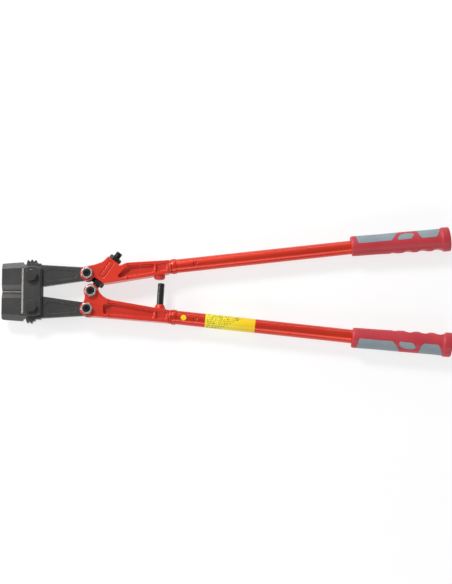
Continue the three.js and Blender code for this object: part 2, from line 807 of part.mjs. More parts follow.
function gripBody(inset) {
  const drift = new THREE.Matrix4().makeShear(0, 0, 0, 0, 0, driftSlope);
  const geometry = turned(gripProfile(inset), tubeFacets).applyMatrix4(drift);
  return onTube(geometry.translate(0, gripStartDrift, gripStart));
}

// The soft inlays' outlines as [station from the first groove, height as a share of the
// grip's radius], seen from the front; heights over 1 run off the outer side.
const inlayOutlines = {
  rear: [[inlayStart - firstGroove, 1.75], [inlayStart - firstGroove, 0.99],
    [inlayStart + 3.5 - firstGroove, 0.14], [-2, 0.14], [4, 0.55], [12, 1], [14, 1.75]],
  middle: [[9, 0.14], [33, 0.17], [37, 0.49], [39, 0.67], [34, 0.79], [23, 0.84], [14, 0.7],
    [9, 0.35]],
  front: [[42.5, 1.75], [42.5, 1.02], [45, 0.76], [48, 0.27], [51, 0.16], [75, 0.16],
    [79, 0.47], [84, 1.1], [84.5, 1.75]],
};

const inlayFaces = [["rear", 1], ["middle", 1], ["middle", -1], ["front", 1]];

// An inlay's outline, moved outwards by grow at its farthest corner.
function inlayShape(name, grow) {
  const points = inlayOutlines[name].map(([s, share]) => new THREE.Vector2(s, share * gripRadius));
  const sum = points.reduce((total, point) => total.add(point), new THREE.Vector2());
  const centre = sum.divideScalar(points.length);
  const reach = Math.max(...points.map((point) => point.distanceTo(centre)));
  const grown = points.map((point) => point.sub(centre).multiplyScalar(1 + grow / reach).add(centre));
  return polygon(grown.map((point) => gripPoint(firstGroove + point.x, point.y)));
}

// Only the middle inlay is a patch on each face; the others run round the outer side.
function inlayPrism(name, face, grow) {
  const reach = gripFlangeRadius + 2;
  const nearest = name === "middle" ? 3 : -reach;
  return face > 0
    ? slab(inlayShape(name, grow), nearest, reach)
    : slab(inlayShape(name, grow), -reach, -nearest);
}

function gripGrooves(made) {
  for (let i = 0; i < grooveCount; i++) {
    const depth = i === 0 ? firstGrooveShare * grooveDepth : grooveDepth;
    const [x, y] = gripPoint(firstGroove + i * groovePitch, depth - gripSwellAt(0.6) - grooveRadius);
    made = made.subtract(plate(disc(x, y, grooveRadius), midHeight));
  }
  return made;
}

function grip() {
  let shell = gripBody(0);
  for (const [name, face] of inlayFaces) shell = shell.subtract(inlayPrism(name, face, fitGap));
  const bore = bar(sleeveRadius, -1, gripLength - gripEndWall + fitGap, tubeFacets);
  return gripGrooves(gripBody(inlayDepth).add(shell))
    .subtract(onTube(bore.translate(0, 0, gripStart)));
}

function inlay(name, face) {
  const skin = gripBody(0).subtract(gripBody(inlayDepth - fitGap));
  return skin.intersect(inlayPrism(name, face, -fitGap / 2));
}

// ---- Label and sticker ----
function wrapper(start, length) {
  const outer = sleeveRadius + labelThickness;
  return ringOnTube([
    [sleeveRadius, start],
    [outer, start],
    [outer, start + length],
    [sleeveRadius, start + length],
  ]);
}

const sticker = () =>
  wrapper(stickerStation - 2 * stickerRadius, 4 * stickerRadius).intersect(
    barAt(...tubePoint(stickerStation, 0), stickerRadius, 2, midHeight),
  );

// ---- Assembly ----
function piece(name, made, material) {
  const mesh = new THREE.Mesh(geometryOf(made), material);
  mesh.name = name;
  return mesh;
}

function pieceAt(x, y, name, made, material) {
  const mesh = piece(name, made, material);
  mesh.position.set(x, y, 0);
  return mesh;
}

const cutters = new THREE.Group();
cutters.position.z = midHeight;
const upperSide = new THREE.Group();
const lowerSide = new THREE.Group();
lowerSide.scale.y = -1;
cutters.add(upperSide, lowerSide);

for (const [side, group] of [["upper", upperSide], ["lower", lowerSide]]) {
  group.add(
    piece(`${side}_tube`, tube(), redEnamel),
    piece(`${side}_collar`, collar(), redEnamel),
    piece(`${side}_tube_pin`, tubePin(), redEnamel),
    piece(`${side}_grip`, grip(), gripRed),
  );
  for (const [name, face] of inlayFaces) {
    const patch = face > 0 ? "_front" : "_back";
    const suffix = name === "middle" ? patch : "";
    group.add(piece(`${side}_grip_${name}_inlay${suffix}`, inlay(name, face), gripGrey));
  }
}

// The linkage is closed by the upper jaw's strap hole, which is the larger one.
upperSide.add(
  piece("upper_jaw", jaw(3, holeRadius + openPivotClearance), blackSteel),
  piece("upper_handle_head", upperHead(), redEnamel),
);
lowerSide.add(
  piece("lower_jaw", jaw(2, holeRadius), blackSteel),
  piece("lower_handle_head", lowerHead(), redEnamel),
  piece("stop_peg", stopPeg(), blackOxide),
  piece("tube_label", wrapper(labelStart, labelLength), labelYellow),
  piece("round_sticker", sticker(), labelYellow),
);

cutters.add(
  piece("front_strap", strap(1), blackSteel),
  piece("back_strap", strap(-1), blackSteel),
  pieceAt(strapX, strapHalfPitch, "upper_strap_bolt", strapBolt(rad(12)), blackSteel),
  pieceAt(strapX, -strapHalfPitch, "lower_strap_bolt", strapBolt(rad(2)), blackSteel),
  pieceAt(strapX, strapHalfPitch, "upper_strap_nut", strapNut(rad(20)), blackOxide),
  pieceAt(strapX, -strapHalfPitch, "lower_strap_nut", strapNut(rad(5)), blackOxide),
  pieceAt(jawPinX, jawPinY, "upper_jaw_screw", pivotScrew(rad(10)), blackOxide),
  pieceAt(jawPinX, -jawPinY, "lower_jaw_screw", pivotScrew(rad(20)), blackOxide),
  piece("handle_pivot_screw", pivotScrew(0), blackOxide),
  pieceAt(jawPinX, jawPinY, "upper_jaw_nut", pivotNut(rad(28)), zincPlate),
  pieceAt(jawPinX, -jawPinY, "lower_jaw_nut", pivotNut(rad(5)), zincPlate),
  piece("handle_pivot_nut", pivotNut(rad(14)), zincPlate),
  piece("adjusting_eyebolt", eyebolt(), blackOxide),
  piece("adjusting_nut", screwNut(adjustingNutStart, adjustingNutHeight, 0), blackOxide),
  piece("lock_nut", screwNut(bossEnd + fitGap, lockNutHeight, rad(12)), blackOxide),
);

export default cutters;
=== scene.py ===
"""Bolt cutters lying closed on a pale floor, with their handles to the right."""
import json
import math
import bpy
import numpy as np
from mathutils import Matrix, Vector


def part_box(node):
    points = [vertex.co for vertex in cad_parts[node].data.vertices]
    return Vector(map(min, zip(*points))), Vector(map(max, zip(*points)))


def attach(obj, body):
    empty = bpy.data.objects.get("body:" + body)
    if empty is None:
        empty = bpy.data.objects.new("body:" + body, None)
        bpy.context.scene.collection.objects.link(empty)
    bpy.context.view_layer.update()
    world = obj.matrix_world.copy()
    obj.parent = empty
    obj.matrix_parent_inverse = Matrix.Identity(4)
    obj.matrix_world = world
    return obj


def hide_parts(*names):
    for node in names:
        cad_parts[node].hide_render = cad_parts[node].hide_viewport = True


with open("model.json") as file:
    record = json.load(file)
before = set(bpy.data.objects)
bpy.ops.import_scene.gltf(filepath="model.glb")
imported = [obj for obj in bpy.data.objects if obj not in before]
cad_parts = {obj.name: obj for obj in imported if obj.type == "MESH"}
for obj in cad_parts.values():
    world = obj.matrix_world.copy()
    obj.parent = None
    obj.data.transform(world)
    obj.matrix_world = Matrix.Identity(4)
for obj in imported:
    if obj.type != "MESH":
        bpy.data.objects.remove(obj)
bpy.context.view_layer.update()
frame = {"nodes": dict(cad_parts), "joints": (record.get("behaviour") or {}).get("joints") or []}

MM = 0.001
MIRROR = Vector((1, -1, 1))  # swaps the upper and the lower side
MIRROR_MATRIX = Matrix.Diagonal((1, -1, 1, 1))

# ---- Places taken from the frame ----
JOINTS = {joint["name"]: joint for joint in frame["joints"]}
HANDLE_PIVOT = Vector(JOINTS["handle_pivot"]["pos_m"])
MID_HEIGHT = HANDLE_PIVOT.z
UPPER_PIN = Vector(JOINTS["upper_jaw_pivot"]["pos_m"])
LOWER_PIN = Vector(JOINTS["lower_jaw_pivot"]["pos_m"])
LOWER_STRAP_PIN = Vector(JOINTS["strap_pivot"]["pos_m"])
UPPER_STRAP_PIN = Vector((LOWER_STRAP_PIN.x, -LOWER_STRAP_PIN.y, MID_HEIGHT))
SCREW_LINE = Vector(JOINTS["adjuster_slide"]["axis"]).normalized()
UP = Vector((0, 0, 1))


def corners(node):
    """A CAD node's vertices at rest, in metres."""
    return np.array([v.co for v in frame["nodes"][node].data.vertices])


def length_line(points, centre, towards):
    """The direction of a long straight shape's length through its centre, facing towards."""
    spread = np.unique(np.round(points - centre, 7), axis=0)
    direction = np.linalg.svd(spread, full_matrices=False)[2][0]
    return Vector(direction * np.sign(direction @ towards))


def tube_axis():
    points = corners("upper_tube")
    centre = (points.min(0) + points.max(0)) / 2
    return Vector(centre), length_line(points, centre, (1, 0, 0))


def frame_along(origin, line):
    """A frame whose Z runs along a level line, with X down and Y to the line's left."""
    matrix = Matrix((-UP, UP.cross(line), line)).transposed().to_4x4()
    matrix.translation = origin
    return matrix


TUBE_CENTRE, TUBE_LINE = tube_axis()
TUBE_FRAME = frame_along(TUBE_CENTRE, TUBE_LINE)
SCREW_FRAME = frame_along(HANDLE_PIVOT, SCREW_LINE)


def span(node, origin, line):
    """Where a node starts and ends along a line, and how far it reaches from that line."""
    points = corners(node) - np.array(origin)
    stations = points @ np.array(line)
    away = np.linalg.norm(points - np.outer(stations, np.array(line)), axis=1)
    return stations.min(), stations.max(), away.max()


def upper_span(node):
    return span(node, TUBE_CENTRE, TUBE_LINE)


def lower_span(node):
    return span(node, TUBE_CENTRE * MIRROR, TUBE_LINE * MIRROR)


def screw_span(node):
    return span(node, HANDLE_PIVOT, SCREW_LINE)


def heights(node):
    """A node's lowest and highest point, counted from the tool's middle plane."""
    return span(node, HANDLE_PIVOT, UP)[:2]


# ---- Modelling by hand ----
def select_only(piece):
    bpy.ops.object.select_all(action="DESELECT")
    piece.select_set(True)
    bpy.context.view_layer.objects.active = piece


def edit(piece):
    select_only(piece)
    bpy.ops.object.mode_set(mode="EDIT")
    bpy.ops.mesh.select_all(action="SELECT")


def leave_edit():
    bpy.ops.object.mode_set(mode="OBJECT")


def clean(piece):
    """Merges doubles and turns every face outwards."""
    edit(piece)
    bpy.ops.mesh.remove_doubles(threshold=0.002 * MM)
    bpy.ops.mesh.normals_make_consistent(inside=False)
    leave_edit()
    return piece


def modified(piece, kind, **settings):
    select_only(piece)
    modifier = piece.modifiers.new(kind.lower(), kind)
    for key, value in settings.items():
        setattr(modifier, key, value)
    bpy.ops.object.modifier_apply(modifier=modifier.name)
    return piece


def joined(kind, piece, tool, keep_tool=False):
    """piece cut by, joined to or kept inside tool."""
    modified(piece, "BOOLEAN", operation=kind, solver="EXACT", object=tool)
    if not keep_tool:
        bpy.data.objects.remove(tool)
    return piece


def rounded(piece, width, segments=3, angle=28):
    modified(
        piece, "BEVEL", width=width, segments=segments, limit_method="ANGLE",
        angle_limit=math.radians(angle), use_clamp_overlap=True, miter_outer="MITER_ARC",
    )
    return piece


def smooth(piece, angle=32):
    """Smooth shading that stays flat on the broad faces."""
    select_only(piece)
    bpy.ops.object.shade_smooth_by_angle(angle=math.radians(angle))
    return modified(piece, "WEIGHTED_NORMAL", keep_sharp=True)


def placed(piece, matrix):
    select_only(piece)
    piece.matrix_world = matrix @ piece.matrix_world
    bpy.ops.object.transform_apply(location=True, rotation=True, scale=True)
    return piece


def turned(name, profile, sides=96):
    """A closed solid turned about Z: its profile runs [radius, height] from first to last face."""
    radius, height = profile[0]
    bpy.ops.object.select_all(action="DESELECT")
    bpy.ops.mesh.primitive_circle_add(vertices=sides, radius=radius, fill_type="NGON")
    piece = bpy.context.object
    piece.name = name
    edit(piece)
    bpy.ops.transform.translate(value=(0, 0, height))
    for next_radius, next_height in profile[1:]:
        bpy.ops.mesh.extrude_region_move(
            TRANSFORM_OT_translate={"value": (0, 0, next_height - height)}
        )
        grow = next_radius / radius
        bpy.ops.transform.resize(value=(grow, grow, 1), center_override=(0, 0, next_height))
        radius, height = next_radius, next_height
    bpy.ops.mesh.select_all(action="SELECT")
    bpy.ops.mesh.normals_make_consistent(inside=False)
    leave_edit()
    return piece


def rod(name, radius, low, high, sides=64):
    return turned(name, [(radius, low), (radius, high)], sides)


def prism(name, outline, low, high):
    """A flat outline of (x, y) points, extruded from low to high along Z."""
    bpy.ops.object.select_all(action="DESELECT")
    bpy.ops.mesh.primitive_circle_add(vertices=len(outline), radius=1, fill_type="NGON")
    piece = bpy.context.object
    piece.name = name
    for vertex, (x, y) in zip(piece.data.vertices, outline):
        vertex.co = (x, y, low)
    edit(piece)
    bpy.ops.mesh.extrude_region_move(TRANSFORM_OT_translate={"value": (0, 0, high - low)})
    bpy.ops.mesh.select_all(action="SELECT")
    bpy.ops.mesh.normals_make_consistent(inside=False)
    leave_edit()
    return piece


def copied(piece, name):
    twin = piece.copy()
    twin.data = piece.data.copy()
    twin.name = name
    bpy.context.scene.collection.objects.link(twin)
    return twin


def mirrored(piece, name):
    twin = copied(piece, name)
    placed(twin, MIRROR_MATRIX)
    return clean(twin)


def cad_copy(node, name):
    """The merged mesh of a CAD node, its flat faces joined up."""
    source = frame["nodes"][node]
    piece = bpy.data.objects.new(name, source.data.copy())
    bpy.context.scene.collection.objects.link(piece)
    piece.data.materials.clear()
    return clean(piece)


def forged(node, name, voxel, passes):
    """A CAD node's shape with the soft edges of a forging."""
    piece = cad_copy(node, name)
    modified(piece, "REMESH", mode="VOXEL", voxel_size=voxel)
    modified(piece, "SMOOTH", factor=0.5, iterations=passes)
    select_only(piece)
    bpy.ops.object.shade_smooth()
    return piece


def finished(piece, body, material, slot, *nodes):
    """Gives a piece its finish and its CAD body, and hides the CAD nodes that it stands for."""
    piece.data.materials.clear()
    piece.data.materials.append(material)
    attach(piece, body)
    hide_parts(*nodes)
    return piece


# ---- Shader node groups ----
def new_group(name, inputs, outputs):
    group = bpy.data.node_groups.new(name, "ShaderNodeTree")
    for title, value in inputs:
        kind = "NodeSocketVector" if value is None else "NodeSocketFloat"
        socket = group.interface.new_socket(title, in_out="INPUT", socket_type=kind)
        if value is not None:
            socket.default_value = value
    for title, kind in outputs:
        group.interface.new_socket(title, in_out="OUTPUT", socket_type=kind)
    return group, group.nodes.new("NodeGroupInput"), group.nodes.new("NodeGroupOutput")


class Wiring:
    """Adds and links nodes in one node tree."""

    def __init__(self, tree):
        self.tree = tree

    def node(self, kind, links=None, **settings):
        made = self.tree.nodes.new("ShaderNode" + kind)
        for key, value in settings.items():
            setattr(made, key, value)
        for socket, value in (links or {}).items():
            if isinstance(value, bpy.types.NodeSocket):
                self.tree.links.new(value, made.inputs[socket])
            else:
                made.inputs[socket].default_value = value
        return made

    def math(self, operation, first, second=0.0, third=0.0):
        links = {0: first, 1: second, 2: third}
        return self.node("Math", links, operation=operation).outputs[0]

    def noise(self, vector, scale, detail=3.0, roughness=0.5):
        links = {"Vector": vector, "Scale": scale, "Detail": detail, "Roughness": roughness}
        return self.node("TexNoise", links).outputs["Fac"]

    def ramp(self, value, low, high, to_low=0.0, to_high=1.0):
        links = {0: value, 1: low, 2: high, 3: to_low, 4: to_high}
        return self.node("MapRange", links, clamp=True).outputs[0]

    def mix(self, factor, first, second):
        links = {"Factor": factor, 6: first, 7: second}
        return self.node("Mix", links, data_type="RGBA").outputs[2]


def make_edge_wear():
    """Mask of the edges that hands and bench have rubbed, broken up by noise; on the strap bolts
    it also places painted highlight.
    """
    inputs = [("Vector", None), ("Radius", 0.8 * MM), ("Breakup", 260.0)]
    group, given, result = new_group("edge_wear", inputs, [("Mask", "NodeSocketFloat")])
    w = Wiring(group)
    bevel = w.node("Bevel", {"Radius": given.outputs["Radius"]}, samples=6)
    face = w.node("NewGeometry").outputs["Normal"]
    dot = w.node("VectorMath", {0: bevel.outputs[0], 1: face}, operation="DOT_PRODUCT")
    edge = w.ramp(dot.outputs["Value"], 0.995, 0.86)
    patch = w.ramp(w.noise(given.outputs["Vector"], given.outputs["Breakup"], 4.0), 0.36, 0.62)
    group.links.new(w.math("MULTIPLY", edge, patch), result.inputs["Mask"])
    return group


def make_mottle():
    """Slow and fast tone variation, both between 0 and 1."""
    inputs = [("Vector", None), ("Broad", 18.0), ("Fine", 420.0)]
    outputs = [("Broad", "NodeSocketFloat"), ("Fine", "NodeSocketFloat")]
    group, given, result = new_group("mottle", inputs, outputs)
    w = Wiring(group)
    vector = given.outputs["Vector"]
    broad = w.ramp(w.noise(vector, given.outputs["Broad"], 4.0), 0.3, 0.7)
    fine = w.ramp(w.noise(vector, given.outputs["Fine"], 5.0, 0.62), 0.3, 0.7)
    group.links.new(broad, result.inputs["Broad"])
    group.links.new(fine, result.inputs["Fine"])
    return group


def make_relief():
    """Height of a pitted or grained surface: shallow waves with small pits in them."""
    inputs = [("Vector", None), ("Wave", 60.0), ("Grain", 900.0), ("Pits", 300.0)]
    group, given, result = new_group("relief", inputs, [("Height", "NodeSocketFloat")])
    w = Wiring(group)
    vector = given.outputs["Vector"]
    wave = w.noise(vector, given.outputs["Wave"], 2.0)
    grain = w.noise(vector, given.outputs["Grain"], 3.0, 0.6)
    links = {"Vector": vector, "Scale": given.outputs["Pits"]}
    cell = w.node("TexVoronoi", links, feature="F1").outputs["Distance"]
    pit = w.ramp(cell, 0.05, 0.35)
    mixed = w.math("MULTIPLY_ADD", wave, 0.5, w.math("MULTIPLY", grain, 0.3))
    group.links.new(w.math("MULTIPLY_ADD", pit, 0.2, mixed), result.inputs["Height"])
    return group


EDGE_WEAR = make_edge_wear()
MOTTLE = make_mottle()
RELIEF = make_relief()


# ---- Materials ----
class Finish(Wiring):
    """A material built round one Principled shader, in object coordinates."""

    def __init__(self, name):
        self.material = bpy.data.materials.new(name)
        self.material.use_nodes = True
        super().__init__(self.material.node_tree)
        self.tree.nodes.clear()
        output = self.tree.nodes.new("ShaderNodeOutputMaterial")
        self.shader = self.tree.nodes.new("ShaderNodeBsdfPrincipled")
        self.tree.links.new(self.shader.outputs[0], output.inputs[0])
        self.place = self.node("TexCoord").outputs["Object"]

    def group(self, tree, **values):
        made = self.tree.nodes.new("ShaderNodeGroup")
        made.node_tree = tree
        self.tree.links.new(self.place, made.inputs["Vector"])
        for key, value in values.items():
            made.inputs[key].default_value = value
        return made

    def set(self, **values):
        for key, value in values.items():
            self.shader.inputs[key.replace("_", " ")].default_value = value

    def feed(self, socket, value):
        self.tree.links.new(value, self.shader.inputs[socket])

    def bump(self, height, depth, strength=1.0):
        links = {"Height": height, "Distance": depth, "Strength": strength}
        self.feed("Normal", self.node("Bump", links).outputs[0])


def colour(r, g, b):
    return (r, g, b, 1.0)


def metal_finish(name, dark, light, wear_and_highlight, metallic, rough, relief_depth, radius, oil=0.0):
    """Steel with a toned, pitted surface, lighter edges (rubbed wear, and on the strap bolts
    painted highlight too) and perhaps a film of oil.
    """
    finish = Finish(name)
    tone = finish.group(MOTTLE)
    wear = finish.group(EDGE_WEAR, Radius=radius)
    relief = finish.group(RELIEF, Wave=90.0, Grain=1100.0, Pits=420.0)
    base = finish.mix(tone.outputs["Broad"], dark, light)
    speckle = finish.math("MULTIPLY", tone.outputs["Fine"], 0.35)
    base = finish.mix(speckle, base, dark)
    # Lighter edges: rubbed wear, and on the strap bolts painted highlight as well.
    finish.feed("Base Color", finish.mix(wear.outputs["Mask"], base, wear_and_highlight))
    low, high = rough
    finish.feed("Roughness", finish.ramp(tone.outputs["Fine"], 0.0, 1.0, high, low))
    finish.set(Metallic=metallic, Coat_Weight=oil, Coat_Roughness=0.22)
    finish.bump(relief.outputs["Height"], relief_depth)
    return finish.material


def enamel_finish(name, thick, thinner, metallic, coat):
    """Glossy orange-red enamel: orange peel, thin and darker on the edges."""
    finish = Finish(name)
    tone = finish.group(MOTTLE, Broad=9.0, Fine=260.0)
    wear = finish.group(EDGE_WEAR, Radius=1.1 * MM, Breakup=140.0)
    relief = finish.group(RELIEF, Wave=130.0, Grain=520.0, Pits=60.0)
    base = finish.mix(tone.outputs["Broad"], thick, thinner)
    thin = finish.math("MULTIPLY", wear.outputs["Mask"], 0.45)
    finish.feed("Base Color", finish.mix(thin, base, colour(0.30, 0.008, 0.006)))
    finish.feed("Roughness", finish.ramp(tone.outputs["Fine"], 0.0, 1.0, 0.30, 0.42))
    finish.set(Metallic=metallic, Coat_Weight=coat, Coat_Roughness=0.14)
    finish.bump(relief.outputs["Height"], 0.12 * MM, 0.5)
    return finish.material


def rubber_finish(name, base, rubbed, rough, grain):
    """Moulded rubber with a fine leathery grain, polished where hands hold it."""
    finish = Finish(name)
    tone = finish.group(MOTTLE, Broad=26.0, Fine=700.0)
    wear = finish.group(EDGE_WEAR, Radius=0.7 * MM)
    relief = finish.group(RELIEF, Wave=50.0, Grain=grain, Pits=grain * 0.8)
    shade = finish.mix(tone.outputs["Broad"], base, rubbed)
    finish.feed("Base Color", finish.mix(wear.outputs["Mask"], shade, rubbed))
    low, high = rough
    finish.feed("Roughness", finish.ramp(tone.outputs["Fine"], 0.0, 1.0, low, high))
    finish.bump(relief.outputs["Height"], 0.22 * MM, 0.55)
    return finish.material


def label_finish(origin, length):
    """Yellow film, amber towards its far end, with rows of plain dashes."""
    finish = Finish("label_film")
    # The lower tube slants as far to -Y as the upper one does to +Y.
    slant = math.atan2(TUBE_LINE.y, TUBE_LINE.x)
    shift = Matrix.Rotation(slant, 3, "Z") @ -origin
    links = {"Vector": finish.place, "Location": shift, "Rotation": (0, 0, slant)}
    mapped = finish.node("Mapping", links).outputs[0]
    parts = finish.node("SeparateXYZ", {0: mapped})
    along, across = parts.outputs["X"], parts.outputs["Y"]
    row_pitch = 3.1 * MM
    row = finish.math("FLOOR", finish.math("DIVIDE", across, row_pitch))
    in_row = finish.math("FRACT", finish.math("DIVIDE", across, row_pitch))
    band = finish.math("COMPARE", in_row, 0.5, 0.24)
    stretched = finish.math("MULTIPLY", along, 620.0)
    spread = finish.math("MULTIPLY", row, 7.3)
    spot = finish.node("CombineXYZ", {0: stretched, 1: spread}).outputs[0]
    dash = finish.ramp(finish.noise(spot, 1.0, 1.0), 0.47, 0.50, 1.0, 0.0)
    row_end = finish.math("MULTIPLY_ADD", row, 5.5 * MM, 0.60 * length)
    starts = finish.math("GREATER_THAN", along, 3 * MM)
    ends = finish.math("LESS_THAN", along, row_end)
    front = finish.math("GREATER_THAN", parts.outputs["Z"], 0.0)
    printed = finish.math("MULTIPLY", finish.math("MULTIPLY", starts, ends), front)
    ink = finish.math("MULTIPLY", finish.math("MULTIPLY", band, dash), printed)
    fade = finish.ramp(along, 0.30 * length, 0.85 * length)
    film = finish.mix(fade, colour(0.88, 0.76, 0.03), colour(0.86, 0.58, 0.004))
    tone = finish.group(MOTTLE, Broad=40.0, Fine=500.0)
    stain = finish.math("MULTIPLY", tone.outputs["Broad"], 0.12)
    film = finish.mix(stain, film, colour(0.70, 0.42, 0.01))
    finish.feed("Base Color", finish.mix(ink, film, colour(0.10, 0.075, 0.02)))
    finish.feed("Roughness", finish.ramp(tone.outputs["Fine"], 0.0, 1.0, 0.26, 0.38))
    relief = finish.group(RELIEF, Wave=90.0, Grain=500.0, Pits=120.0)
    finish.bump(relief.outputs["Height"], 0.05 * MM, 0.4)
    return finish.material


def floor_finish():
    finish = Finish("pale_floor")
    tone = finish.group(MOTTLE, Broad=1.5, Fine=30.0)
    light, dark = colour(0.32, 0.32, 0.32), colour(0.30, 0.30, 0.30)
    finish.feed("Base Color", finish.mix(tone.outputs["Broad"], light, dark))
    finish.set(Roughness=0.9, Specular_IOR_Level=0.1)
    finish.set(Emission_Color=colour(1, 1, 1), Emission_Strength=0.70)
    return finish.material


FORGED = metal_finish(
    "forged_steel", colour(0.046, 0.045, 0.045), colour(0.074, 0.071, 0.069),
    colour(0.30, 0.29, 0.28), 0.65, (0.34, 0.52), 0.22 * MM, 0.7 * MM, 0.55,
)
# The strap bolts' light edge colour is partly rubbed wear and partly painted highlight for the lit
# edges of their heads.
BOLT_STEEL = metal_finish(
    "strap_bolts", colour(0.058, 0.055, 0.052), colour(0.095, 0.090, 0.085),
    colour(0.34, 0.32, 0.30), 0.8, (0.28, 0.42), 0.08 * MM, 0.5 * MM, 0.45,
)
BLACK_OXIDE = metal_finish(
    "black_oxide", colour(0.014, 0.015, 0.017), colour(0.034, 0.035, 0.037),
    colour(0.18, 0.18, 0.18), 0.75, (0.26, 0.42), 0.06 * MM, 0.4 * MM, 0.5,
)
ZINC = metal_finish(
    "zinc_plate", colour(0.44, 0.44, 0.43), colour(0.60, 0.60, 0.58),
    colour(0.80, 0.80, 0.78), 1.0, (0.34, 0.48), 0.05 * MM, 0.4 * MM,
)
ENAMEL = enamel_finish(
    "red_enamel", colour(0.64, 0.026, 0.006), colour(0.56, 0.019, 0.005), 0.0, 0.25
)
TUBE_ENAMEL = enamel_finish(
    "tube_enamel", colour(0.70, 0.036, 0.009), colour(0.62, 0.026, 0.007), 0.5, 0.4
)
GRIP_RED = rubber_finish(
    "grip_rubber", colour(0.47, 0.026, 0.040), colour(0.53, 0.036, 0.050), (0.42, 0.58), 1300.0
)
GRIP_GREY = rubber_finish(
    "grip_inlay", colour(0.225, 0.270, 0.300), colour(0.275, 0.325, 0.355), (0.58, 0.74), 1500.0
)


# ---- Jaws and straps ----
def machined(node, name, edge):
    """A CAD node's shape with its edges just broken."""
    piece = cad_copy(node, name)
    modified(piece, "DECIMATE", decimate_type="DISSOLVE", angle_limit=math.radians(0.5))
    return smooth(rounded(piece, edge, 2, 24), 30)


for side in ("upper", "lower"):
    blade = machined(f"{side}_jaw", f"{side}_jaw_forging", 0.35 * MM)
    finished(blade, f"{side}_jaw_body", FORGED, "forged_steel", f"{side}_jaw")
for side in ("front", "back"):
    plate = machined(f"{side}_strap", f"{side}_strap_plate", 0.45 * MM)
    finished(plate, "straps", FORGED, "forged_steel", f"{side}_strap")

# ---- Fasteners ----
FASTENER_FACETS = 72
SCREW_RADIUS = 6 * MM
NUT_BORE = 6.15 * MM
PIVOT_FLATS = 18 * MM  # across the flats of the pivot screws' heads and nuts
BOLT_FLATS = 19 * MM  # across the flats of the strap bolts and the adjuster's nuts
SOCKET_FLATS = 6 * MM
EDGE_ANGLE = 30


def hexagon_points(across_flats):
    corner = across_flats / math.sqrt(3)
    return [
        (corner * math.cos(math.radians(60 * i)), corner * math.sin(math.radians(60 * i)))
        for i in range(6)
    ]


def hexagon(name, across_flats, low, high, chamfer_low=True):
    """A hexagonal block along Z with its corners turned off."""
    corner = across_flats / math.sqrt(3)
    flat = 0.475 * across_flats
    drop = (corner - flat) * 0.5
    foot = [(flat, low), (corner, low + drop)] if chamfer_low else [(corner, low)]
    cone = turned(name + "_cone", foot + [(corner, high - drop), (flat, high)], FASTENER_FACETS)
    return joined("INTERSECT", prism(name, hexagon_points(across_flats), low, high), cone)


def hexagon_nut(name, across_flats, low, high, bore):
    nut = hexagon(name, across_flats, low, high)
    margin = 0.9 * MM  # the countersink at each end of the hole
    cutter = turned(
        name + "_bore",
        [(bore + 2 * margin, low - margin), (bore, low + margin), (bore, high - margin),
         (bore + 2 * margin, high + margin)],
        FASTENER_FACETS,
    )
    return smooth(rounded(joined("DIFFERENCE", nut, cutter), 0.3 * MM, 2), EDGE_ANGLE)


def turned_to(piece, centre, degrees):
    turn = Matrix.Rotation(math.radians(degrees), 4, "Z")
    return placed(piece, Matrix.Translation(centre) @ turn)


def screw_end(radius, end):
    """The last part of a screw's profile, up to its chamfered tip."""
    chamfer = 0.9 * MM
    return [(radius, end - chamfer), (radius - chamfer, end)]


def make_pivot_screw():
    """The screw's head lies as far below the middle plane as its nut lies above it."""
    low, high = heights("handle_pivot_screw")
    head_top = -heights("handle_pivot_nut")[0]
    screw = hexagon("pivot_screw", PIVOT_FLATS, low, head_top)
    profile = [(SCREW_RADIUS, head_top - MM)] + screw_end(SCREW_RADIUS, high)
    joined("UNION", screw, turned("shank", profile, FASTENER_FACETS))
    socket = prism("socket", hexagon_points(SOCKET_FLATS), high - 4 * MM, high + MM)
    joined("DIFFERENCE", screw, socket)
    return smooth(rounded(screw, 0.25 * MM, 2), EDGE_ANGLE)


def make_pivot_nut():
    return hexagon_nut("pivot_nut", PIVOT_FLATS, *heights("handle_pivot_nut"), NUT_BORE)


pivot_screw = make_pivot_screw()
pivot_nut = make_pivot_nut()
# Each pivot's place and body, and how far its screw and its nut happen to be turned, in degrees.
PIVOTS = [
    ("handle_pivot", HANDLE_PIVOT, "lower_handle", 0, 14),
    ("upper_jaw", UPPER_PIN, "upper_handle", 10, 28),
    ("lower_jaw", LOWER_PIN, "lower_handle", 20, 5),
]
for name, centre, body, screw_turn, nut_turn in PIVOTS:
    screw = turned_to(copied(pivot_screw, name + "_hex_screw"), centre, screw_turn)
    finished(screw, body, BLACK_OXIDE, "black_oxide", name + "_screw")
    nut = turned_to(copied(pivot_nut, name + "_hex_nut"), centre, nut_turn)
    finished(nut, body, ZINC, "zinc_plate", name + "_nut")
bpy.data.objects.remove(pivot_screw)
bpy.data.objects.remove(pivot_nut)


def make_strap_bolt():
    """A bolt with a thin washer face under its head, which seats on the front strap."""
    low, high = heights("upper_strap_bolt")
    seat = -heights("upper_strap_nut")[1]
    washer = 0.7 * MM
    chamfer = 0.8 * MM
    bolt = hexagon("strap_bolt", BOLT_FLATS, seat + washer, high, False)
    face_profile = [(8.9 * MM, seat), (9.1 * MM, seat + washer + 0.2 * MM)]
    shank_profile = [
        (SCREW_RADIUS - chamfer, low), (SCREW_RADIUS, low + chamfer), (SCREW_RADIUS, seat + MM),
    ]
    joined("UNION", bolt, turned("face", face_profile, FASTENER_FACETS))
    joined("UNION", bolt, turned("shank", shank_profile, FASTENER_FACETS))
    return smooth(rounded(bolt, 0.2 * MM, 2), EDGE_ANGLE)


def make_strap_nut():
    return hexagon_nut("strap_nut", BOLT_FLATS, *heights("upper_strap_nut"), NUT_BORE)


